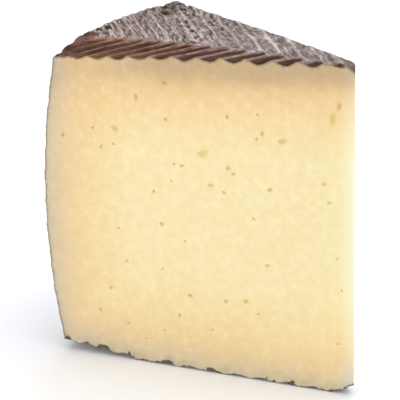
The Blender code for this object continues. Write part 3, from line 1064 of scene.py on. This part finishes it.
def paste_material():
    """Cut paste: pale yellow in the middle, deeper and greyer towards the rind, golden inside the eyes, with
    a painted highlight along the tip's edge and painted shade on the blunt tip face and along the foot.
    """
    material, tree, shader = new_material("paste")
    cloud = noise_texture(tree, 75, 3, 0.55)
    mottle = noise_texture(tree, 380, 3, 0.6)
    fine = noise_texture(tree, 1500, 3, 0.6)
    drift = remap(tree, cloud, 0.3, 0.7, -0.0009, 0.0009, smooth=False)
    place = object_place(tree)
    from_top = attribute(tree, "from_top")
    from_heel = attribute(tree, "from_heel")
    from_base = attribute(tree, "from_base")
    from_tip = attribute(tree, "from_tip")

    # The paste's own colour, yellower near the tip, with a paler band along the tip's edge that is a painted
    # highlight
    middle = mix(tree, remap(tree, mottle, 0.35, 0.65), PASTE_MIDDLE, PASTE_PALE)
    middle = mix(tree, remap(tree, from_tip, 0.003, 0.012, 0.45, 0.0), middle, PASTE_YELLOW)
    # Painted highlight along the tip's edge
    middle = mix(tree, remap(tree, from_tip, 0.0005, 0.0055, 0.92, 0.0), middle, PASTE_TIP_HIGHLIGHT)

    # Its change towards the rind
    shares = []
    for gap in (from_top, calculate(tree, "MINIMUM", from_heel, from_base)):
        shares.append(calculate(tree, "MULTIPLY", calculate(tree, "ADD", gap, drift), 1 / FADE_REACH))
    by_top = ramp(tree, shares[0], TOP_FADE)
    by_top = mix(tree, remap(tree, place["X"], *TOP_FADE_STRETCH), HEEL_END_TINT, by_top)
    colour = mix(tree, 1.0, middle, by_top, "MULTIPLY")
    colour = mix(tree, 1.0, colour, ramp(tree, shares[1], SIDE_FADE), "MULTIPLY")
    colour = mix(tree, remap(tree, mottle, 0.60, 0.74, 0.0, 0.16), colour, PASTE_CRUMB)
    colour = mix(tree, remap(tree, attribute(tree, "eye"), 0.0, 1.0, 0.0, 0.46), colour, EYE_GOLD)

    # The tip's upper corner, painted shade on its blunt face, and the rims along the rind, the one at the
    # foot partly the rind's dark edge and partly painted shade of the gap under the base
    corner_gap = calculate(tree, "ADD", from_tip, from_top)
    colour = mix(tree, remap(tree, corner_gap, 0.0018, 0.0038, 0.9, 0.0), colour, CORNER_DARK)
    # Painted shade on the blunt tip face
    off_front = remap(tree, place["Y"], FRONT_Y + 0.0003, FRONT_Y + 0.0010)
    tip_face_shade = calculate(tree, "MULTIPLY", off_front, remap(tree, from_tip, 0.0015, 0.0035, 0.6, 0))
    colour = mix(tree, tip_face_shade, colour, TIP_FACE_SHADE)
    ragged = remap(tree, fine, 0.3, 0.7, -0.0002, 0.0002, smooth=False)
    edge = calculate(tree, "ADD", calculate(tree, "MINIMUM", from_top, from_heel), ragged)
    colour = mix(tree, remap(tree, edge, 0.0001, 0.0008, 0.75, 0.0), colour, EDGE_OLIVE)
    # The dark line along the foot: partly the rind's dark edge, partly painted shade of the gap under the
    # base
    crust_and_shade_width = remap(tree, noise_texture(tree, 260, 2, 0.6), 0.46, 0.64, 0.0, 0.0008)
    foot = calculate(tree, "ADD", calculate(tree, "SUBTRACT", from_base, crust_and_shade_width), ragged)
    colour = mix(tree, remap(tree, foot, 0.0, 0.0005, 0.90, 0.0), colour, CRUST_AND_SHADE_DARK)
    tree.links.new(colour, shader.inputs["Base Color"])
    tree.links.new(remap(tree, fine, 0.3, 0.7, 0.45, 0.62), shader.inputs["Roughness"])
    shader.inputs["Specular IOR Level"].default_value = 0.3
    shader.inputs["Subsurface Weight"].default_value = 0.12
    shader.inputs["Subsurface Radius"].default_value = (1.0, 0.6, 0.25)
    shader.inputs["Subsurface Scale"].default_value = 0.002
    grain = bump(tree, fine, 0.0001, 0.35)
    tree.links.new(bump(tree, mottle, 0.0003, 0.25, grain), shader.inputs["Normal"])
    return material


def floor_material():
    """A plain white sweep."""
    material, _, shader = new_material("sweep")
    shader.inputs["Base Color"].default_value = (*FLOOR_COLOUR, 1)
    shader.inputs["Roughness"].default_value = 0.9
    return material


# Camera, light and floor


def add_camera():
    """The photograph's view."""
    data = bpy.data.cameras.new("camera")
    data.sensor_width = SENSOR_MM
    data.lens = FOCAL_PIXELS / FRAME_PIXELS * SENSOR_MM
    data.clip_end = 50
    camera = bpy.data.objects.new("camera", data)
    camera.location = Vector((AXIS_X, FRONT_Y, 0)) + CAMERA_FROM_TIP
    forward = Vector((
        sin(CAMERA_YAW) * cos(CAMERA_PITCH), cos(CAMERA_YAW) * cos(CAMERA_PITCH), -sin(CAMERA_PITCH)
    ))
    right = Vector((cos(CAMERA_YAW), -sin(CAMERA_YAW), 0))
    up = right.cross(forward)
    turned_right = right * cos(CAMERA_ROLL) + up * sin(CAMERA_ROLL)
    turned_up = up * cos(CAMERA_ROLL) - right * sin(CAMERA_ROLL)
    camera.rotation_euler = Matrix((turned_right, turned_up, -forward)).transposed().to_euler()
    bpy.context.scene.collection.objects.link(camera)
    bpy.context.scene.camera = camera


def add_light(name, place, size, power):
    """A square soft light that faces the wedge."""
    data = bpy.data.lights.new(name, "AREA")
    data.size = size
    data.energy = power
    light = bpy.data.objects.new(name, data)
    light.location = place
    light.rotation_euler = (Vector(LIT_POINT) - Vector(place)).to_track_quat("-Z", "Y").to_euler()
    bpy.context.scene.collection.objects.link(light)


def add_studio():
    """White surroundings, a large light overhead and a little behind, and two weaker ones in front."""
    world = bpy.data.worlds.new("studio")
    world.use_nodes = True
    background = world.node_tree.nodes["Background"]
    background.inputs["Color"].default_value = (1, 1, 1, 1)
    background.inputs["Strength"].default_value = WORLD_STRENGTH
    bpy.context.scene.world = world
    for name, (place, size, power) in LIGHTS.items():
        add_light(name, place, size, power)


def add_floor():
    """The sweep that the wedge stands on."""
    corners = [(x * FLOOR_HALF, y * FLOOR_HALF, 0) for x, y in ((-1, -1), (1, -1), (1, 1), (-1, 1))]
    mesh = bpy.data.meshes.new("sweep")
    mesh.from_pydata(corners, [], [(0, 1, 2, 3)])
    mesh.materials.append(floor_material())
    floor = bpy.data.objects.new("sweep", mesh)
    bpy.context.scene.collection.objects.link(floor)


wedge = make_wedge([rind_material(), paste_material()])
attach(wedge, "root")
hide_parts("cheese_wedge")
add_camera()
add_studio()
add_floor()
bpy.context.scene.view_settings.view_transform = "Standard"
